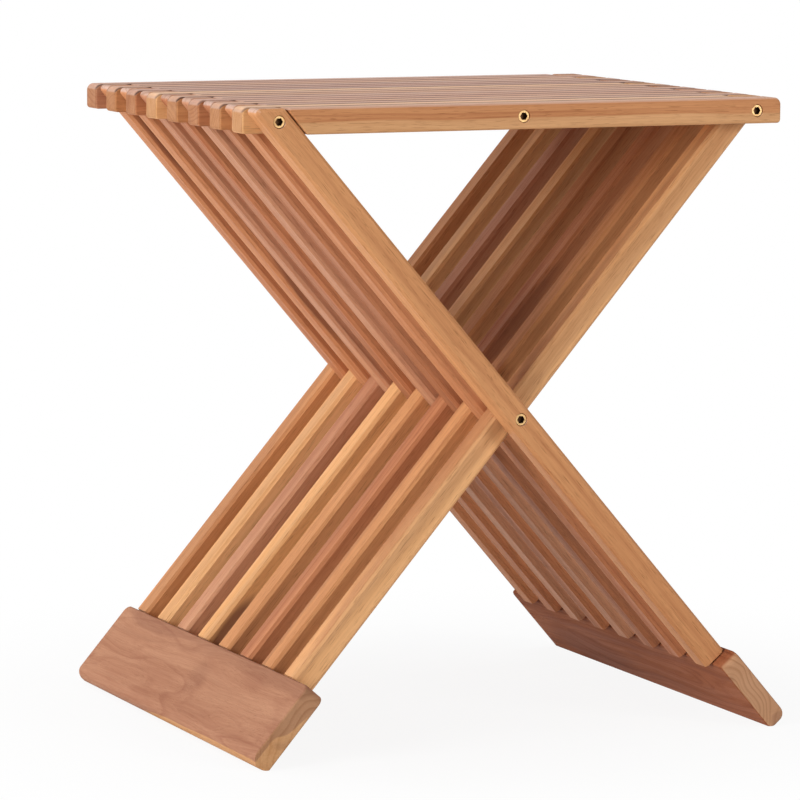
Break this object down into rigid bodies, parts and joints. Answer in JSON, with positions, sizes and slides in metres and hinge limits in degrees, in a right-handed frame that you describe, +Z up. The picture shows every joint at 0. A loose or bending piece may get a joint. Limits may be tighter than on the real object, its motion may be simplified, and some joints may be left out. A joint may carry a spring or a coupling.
{
  "type": "folding stool",
  "caption": "Slatted hardwood folding stool: crossed leg frames of interleaved slats under a slatted seat, with foot boards and through pivots.",
  "frame": {"origin": "On the floor under the middle of the open stool.", "axes": "+X along the seat slats towards the right hinge, +Y across the slats from front to back along the pivots, +Z up."},
  "size_m": [0.4096, 0.344, 0.45],
  "materials": {
    "teak_legs": "oiled teak, straight grain",
    "teak_seat": "oiled teak, straight grain",
    "teak_feet": "oiled teak, flat-sawn figure",
    "brass": "plain turned brass",
    "steel": "plain drawn rod"
  },
  "bodies": {
    "right_legs": {"right_leg_slat_1": "teak_legs", "right_leg_slat_2": "teak_legs", "right_leg_slat_3": "teak_legs", "right_leg_slat_4": "teak_legs", "right_leg_slat_5": "teak_legs", "right_leg_slat_6": "teak_legs", "right_leg_slat_7": "teak_legs", "right_leg_slat_8": "teak_legs", "right_foot": "teak_feet", "cross_rod": "steel", "cross_front_nut": "brass", "cross_back_nut": "brass", "left_hinge_rod": "steel", "left_hinge_front_nut": "brass", "left_hinge_back_nut": "brass"},
    "left_legs": {"left_leg_slat_1": "teak_legs", "left_leg_slat_2": "teak_legs", "left_leg_slat_3": "teak_legs", "left_leg_slat_4": "teak_legs", "left_leg_slat_5": "teak_legs", "left_leg_slat_6": "teak_legs", "left_leg_slat_7": "teak_legs", "left_leg_slat_8": "teak_legs", "left_foot": "teak_feet", "right_hinge_rod": "steel", "right_hinge_front_nut": "brass", "right_hinge_back_nut": "brass"},
    "right_seat": {"right_seat_slat_1": "teak_seat", "right_seat_slat_2": "teak_seat", "right_seat_slat_3": "teak_seat", "right_seat_slat_4": "teak_seat", "right_seat_slat_5": "teak_seat", "right_seat_slat_6": "teak_seat", "right_seat_slat_7": "teak_seat", "right_seat_slat_8": "teak_seat", "right_seat_pins": "steel", "seat_middle_front_nut": "brass"},
    "left_seat": {"left_seat_slat_1": "teak_seat", "left_seat_slat_2": "teak_seat", "left_seat_slat_3": "teak_seat", "left_seat_slat_4": "teak_seat", "left_seat_slat_5": "teak_seat", "left_seat_slat_6": "teak_seat", "left_seat_slat_7": "teak_seat", "left_seat_slat_8": "teak_seat", "left_seat_pins": "steel", "seat_middle_back_nut": "brass"}
  },
  "joints": [
    {"name": "leg_fold", "type": "hinge", "parent": "right_legs", "child": "left_legs", "pos_m": [0, 0, 0.23], "axis": [0, -1, 0], "range_deg": [0, 77.76]},
    {"name": "left_seat_fold", "type": "hinge", "parent": "right_legs", "child": "left_seat", "pos_m": [-0.183, 0, 0.441], "axis": [0, -1, 0], "range_deg": [0, 125.75]},
    {"name": "right_seat_fold", "type": "hinge", "parent": "left_legs", "child": "right_seat", "pos_m": [0.183, 0, 0.441], "axis": [0, 1, 0], "range_deg": [0, 125.75]}
  ],
  "couplings": [
    {"joint": "left_seat_fold", "follows": "leg_fold", "ratio": 1.617},
    {"joint": "right_seat_fold", "follows": "leg_fold", "ratio": 1.617}
  ]
}
